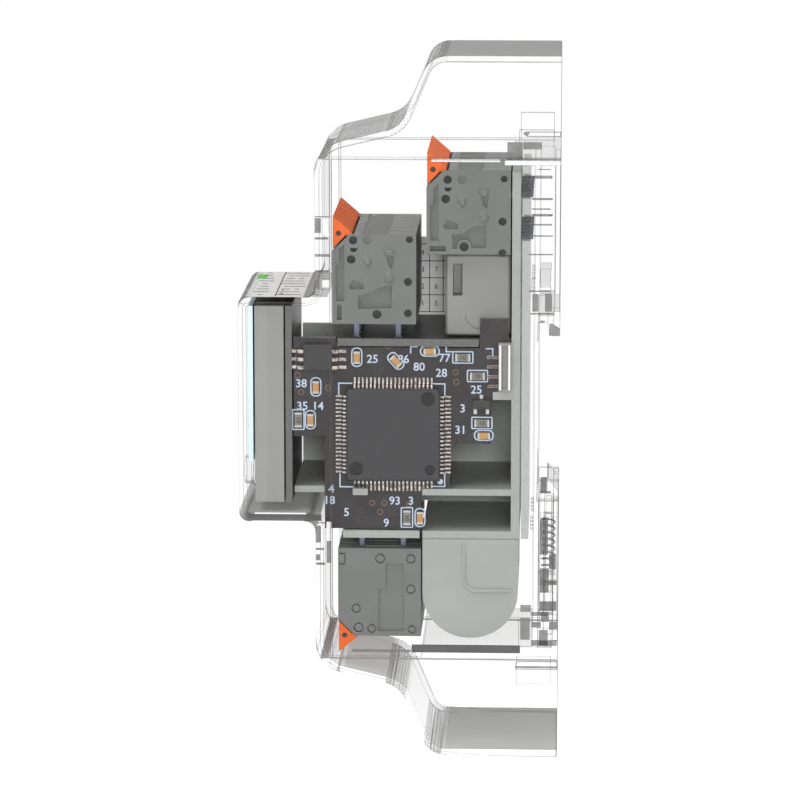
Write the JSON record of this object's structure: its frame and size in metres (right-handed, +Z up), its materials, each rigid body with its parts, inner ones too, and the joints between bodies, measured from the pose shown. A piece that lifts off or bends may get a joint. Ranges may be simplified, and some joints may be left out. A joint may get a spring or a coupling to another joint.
{
  "type": "rail-mounted electricity meter",
  "caption": "Slim see-through electricity meter for a 35 mm rail: stepped clear case with display nose, lever terminal rows, boards, terminal covers and a sprung rail foot.",
  "frame": {"origin": "middle of the seat that bears on the rail's face, at the rail's centre line", "axes": "+Y out of the back towards the rail, -Y towards the display, +Z up, X across the width"},
  "size_m": [0.035, 0.0633, 0.14],
  "materials": {
    "clear_plastic": "clear moulded polycarbonate, polished",
    "terminal_plastic": "mid grey moulded polyamide, fine satin grain",
    "lever_plastic": "orange moulded polyamide, satin",
    "tinned_contact": "tin-plated copper sheet, bluish grey",
    "pale_board": "light grey-green laminate",
    "carrier_plastic": "light grey-green moulded plastic",
    "black_board": "black solder mask on laminate",
    "chip_plastic": "black moulding compound, fine grain",
    "module_grey": "mid grey moulded plastic",
    "display_glass": "light blue display glass",
    "transformer_core": "dark wound core in tape",
    "spring_steel": "bright spring wire"
  },
  "bodies": {
    "case": {"base_housing": "clear_plastic", "front_housing": "clear_plastic", "rear_terminal_block": "terminal_plastic", "front_terminal_block": "terminal_plastic", "lower_terminal_block": "terminal_plastic", "rear_contact_1": "tinned_contact", "rear_contact_2": "tinned_contact", "rear_contact_3": "tinned_contact", "rear_contact_4": "tinned_contact", "rear_contact_5": "tinned_contact", "rear_contact_6": "tinned_contact", "front_contact_1": "tinned_contact", "front_contact_2": "tinned_contact", "front_contact_3": "tinned_contact", "front_contact_4": "tinned_contact", "front_contact_5": "tinned_contact", "front_contact_6": "tinned_contact", "lower_contact_1": "tinned_contact", "lower_contact_2": "tinned_contact", "lower_contact_3": "tinned_contact", "lower_contact_4": "tinned_contact", "lower_contact_5": "tinned_contact", "lower_contact_6": "tinned_contact", "rear_board": "pale_board", "upper_terminal_board": "pale_board", "lower_terminal_board": "pale_board", "inner_carrier": "carrier_plastic", "main_board": "black_board", "display_board": "black_board", "metering_chip": "chip_plastic", "button_switch": "chip_plastic", "backlight": "module_grey", "supply_module": "module_grey", "display_glass": "display_glass", "current_transformer_1": "transformer_core", "current_transformer_2": "transformer_core", "current_transformer_3": "transformer_core", "foot_spring": "spring_steel"},
    "upper_terminal_cover": {"upper_terminal_cover": "clear_plastic"},
    "lower_terminal_cover": {"lower_terminal_cover": "clear_plastic"},
    "rail_foot": {"rail_foot": "clear_plastic"},
    "scroll_button": {"scroll_button": "clear_plastic"},
    "rear_lever_1": {"rear_lever_1": "lever_plastic"},
    "rear_lever_2": {"rear_lever_2": "lever_plastic"},
    "rear_lever_3": {"rear_lever_3": "lever_plastic"},
    "rear_lever_4": {"rear_lever_4": "lever_plastic"},
    "rear_lever_5": {"rear_lever_5": "lever_plastic"},
    "rear_lever_6": {"rear_lever_6": "lever_plastic"},
    "front_lever_1": {"front_lever_1": "lever_plastic"},
    "front_lever_2": {"front_lever_2": "lever_plastic"},
    "front_lever_3": {"front_lever_3": "lever_plastic"},
    "front_lever_4": {"front_lever_4": "lever_plastic"},
    "front_lever_5": {"front_lever_5": "lever_plastic"},
    "front_lever_6": {"front_lever_6": "lever_plastic"},
    "lower_lever_1": {"lower_lever_1": "lever_plastic"},
    "lower_lever_2": {"lower_lever_2": "lever_plastic"},
    "lower_lever_3": {"lower_lever_3": "lever_plastic"},
    "lower_lever_4": {"lower_lever_4": "lever_plastic"},
    "lower_lever_5": {"lower_lever_5": "lever_plastic"},
    "lower_lever_6": {"lower_lever_6": "lever_plastic"}
  },
  "joints": [
    {"name": "upper_cover_slide", "type": "slide", "parent": "case", "child": "upper_terminal_cover", "axis": [0, 0, 1], "range_m": [0, 0.025]},
    {"name": "lower_cover_slide", "type": "slide", "parent": "case", "child": "lower_terminal_cover", "axis": [0, 0, -1], "range_m": [0, 0.025]},
    {"name": "rail_foot_slide", "type": "slide", "parent": "case", "child": "rail_foot", "axis": [0, 0, -1], "range_m": [0, 0.0045], "stiffness_N_per_m": 600, "springref_m": -0.002, "deforming": ["foot_spring"]},
    {"name": "scroll_button_press", "type": "slide", "parent": "case", "child": "scroll_button", "axis": [0, 1, 0], "range_m": [0, 0.0005], "stiffness_N_per_m": 800},
    {"name": "rear_lever_1_hinge", "type": "hinge", "parent": "case", "child": "rear_lever_1", "pos_m": [-0.0125, -0.0189, 0.0475], "axis": [-1, 0, 0], "range_deg": [0, 80]},
    {"name": "rear_lever_2_hinge", "type": "hinge", "parent": "case", "child": "rear_lever_2", "pos_m": [-0.0075, -0.0189, 0.0475], "axis": [-1, 0, 0], "range_deg": [0, 80]},
    {"name": "rear_lever_3_hinge", "type": "hinge", "parent": "case", "child": "rear_lever_3", "pos_m": [-0.0025, -0.0189, 0.0475], "axis": [-1, 0, 0], "range_deg": [0, 80]},
    {"name": "rear_lever_4_hinge", "type": "hinge", "parent": "case", "child": "rear_lever_4", "pos_m": [0.0025, -0.0189, 0.0475], "axis": [-1, 0, 0], "range_deg": [0, 80]},
    {"name": "rear_lever_5_hinge", "type": "hinge", "parent": "case", "child": "rear_lever_5", "pos_m": [0.0075, -0.0189, 0.0475], "axis": [-1, 0, 0], "range_deg": [0, 80]},
    {"name": "rear_lever_6_hinge", "type": "hinge", "parent": "case", "child": "rear_lever_6", "pos_m": [0.0125, -0.0189, 0.0475], "axis": [-1, 0, 0], "range_deg": [0, 80]},
    {"name": "front_lever_1_hinge", "type": "hinge", "parent": "case", "child": "front_lever_1", "pos_m": [-0.0125, -0.0374, 0.0348], "axis": [-1, 0, 0], "range_deg": [0, 80]},
    {"name": "front_lever_2_hinge", "type": "hinge", "parent": "case", "child": "front_lever_2", "pos_m": [-0.0075, -0.0374, 0.0348], "axis": [-1, 0, 0], "range_deg": [0, 80]},
    {"name": "front_lever_3_hinge", "type": "hinge", "parent": "case", "child": "front_lever_3", "pos_m": [-0.0025, -0.0374, 0.0348], "axis": [-1, 0, 0], "range_deg": [0, 80]},
    {"name": "front_lever_4_hinge", "type": "hinge", "parent": "case", "child": "front_lever_4", "pos_m": [0.0025, -0.0374, 0.0348], "axis": [-1, 0, 0], "range_deg": [0, 80]},
    {"name": "front_lever_5_hinge", "type": "hinge", "parent": "case", "child": "front_lever_5", "pos_m": [0.0075, -0.0374, 0.0348], "axis": [-1, 0, 0], "range_deg": [0, 80]},
    {"name": "front_lever_6_hinge", "type": "hinge", "parent": "case", "child": "front_lever_6", "pos_m": [0.0125, -0.0374, 0.0348], "axis": [-1, 0, 0], "range_deg": [0, 80]},
    {"name": "lower_lever_1_hinge", "type": "hinge", "parent": "case", "child": "lower_lever_1", "pos_m": [-0.0125, -0.0364, -0.046], "axis": [1, 0, 0], "range_deg": [0, 80]},
    {"name": "lower_lever_2_hinge", "type": "hinge", "parent": "case", "child": "lower_lever_2", "pos_m": [-0.0075, -0.0364, -0.046], "axis": [1, 0, 0], "range_deg": [0, 80]},
    {"name": "lower_lever_3_hinge", "type": "hinge", "parent": "case", "child": "lower_lever_3", "pos_m": [-0.0025, -0.0364, -0.046], "axis": [1, 0, 0], "range_deg": [0, 80]},
    {"name": "lower_lever_4_hinge", "type": "hinge", "parent": "case", "child": "lower_lever_4", "pos_m": [0.0025, -0.0364, -0.046], "axis": [1, 0, 0], "range_deg": [0, 80]},
    {"name": "lower_lever_5_hinge", "type": "hinge", "parent": "case", "child": "lower_lever_5", "pos_m": [0.0075, -0.0364, -0.046], "axis": [1, 0, 0], "range_deg": [0, 80]},
    {"name": "lower_lever_6_hinge", "type": "hinge", "parent": "case", "child": "lower_lever_6", "pos_m": [0.0125, -0.0364, -0.046], "axis": [1, 0, 0], "range_deg": [0, 80]}
  ]
}
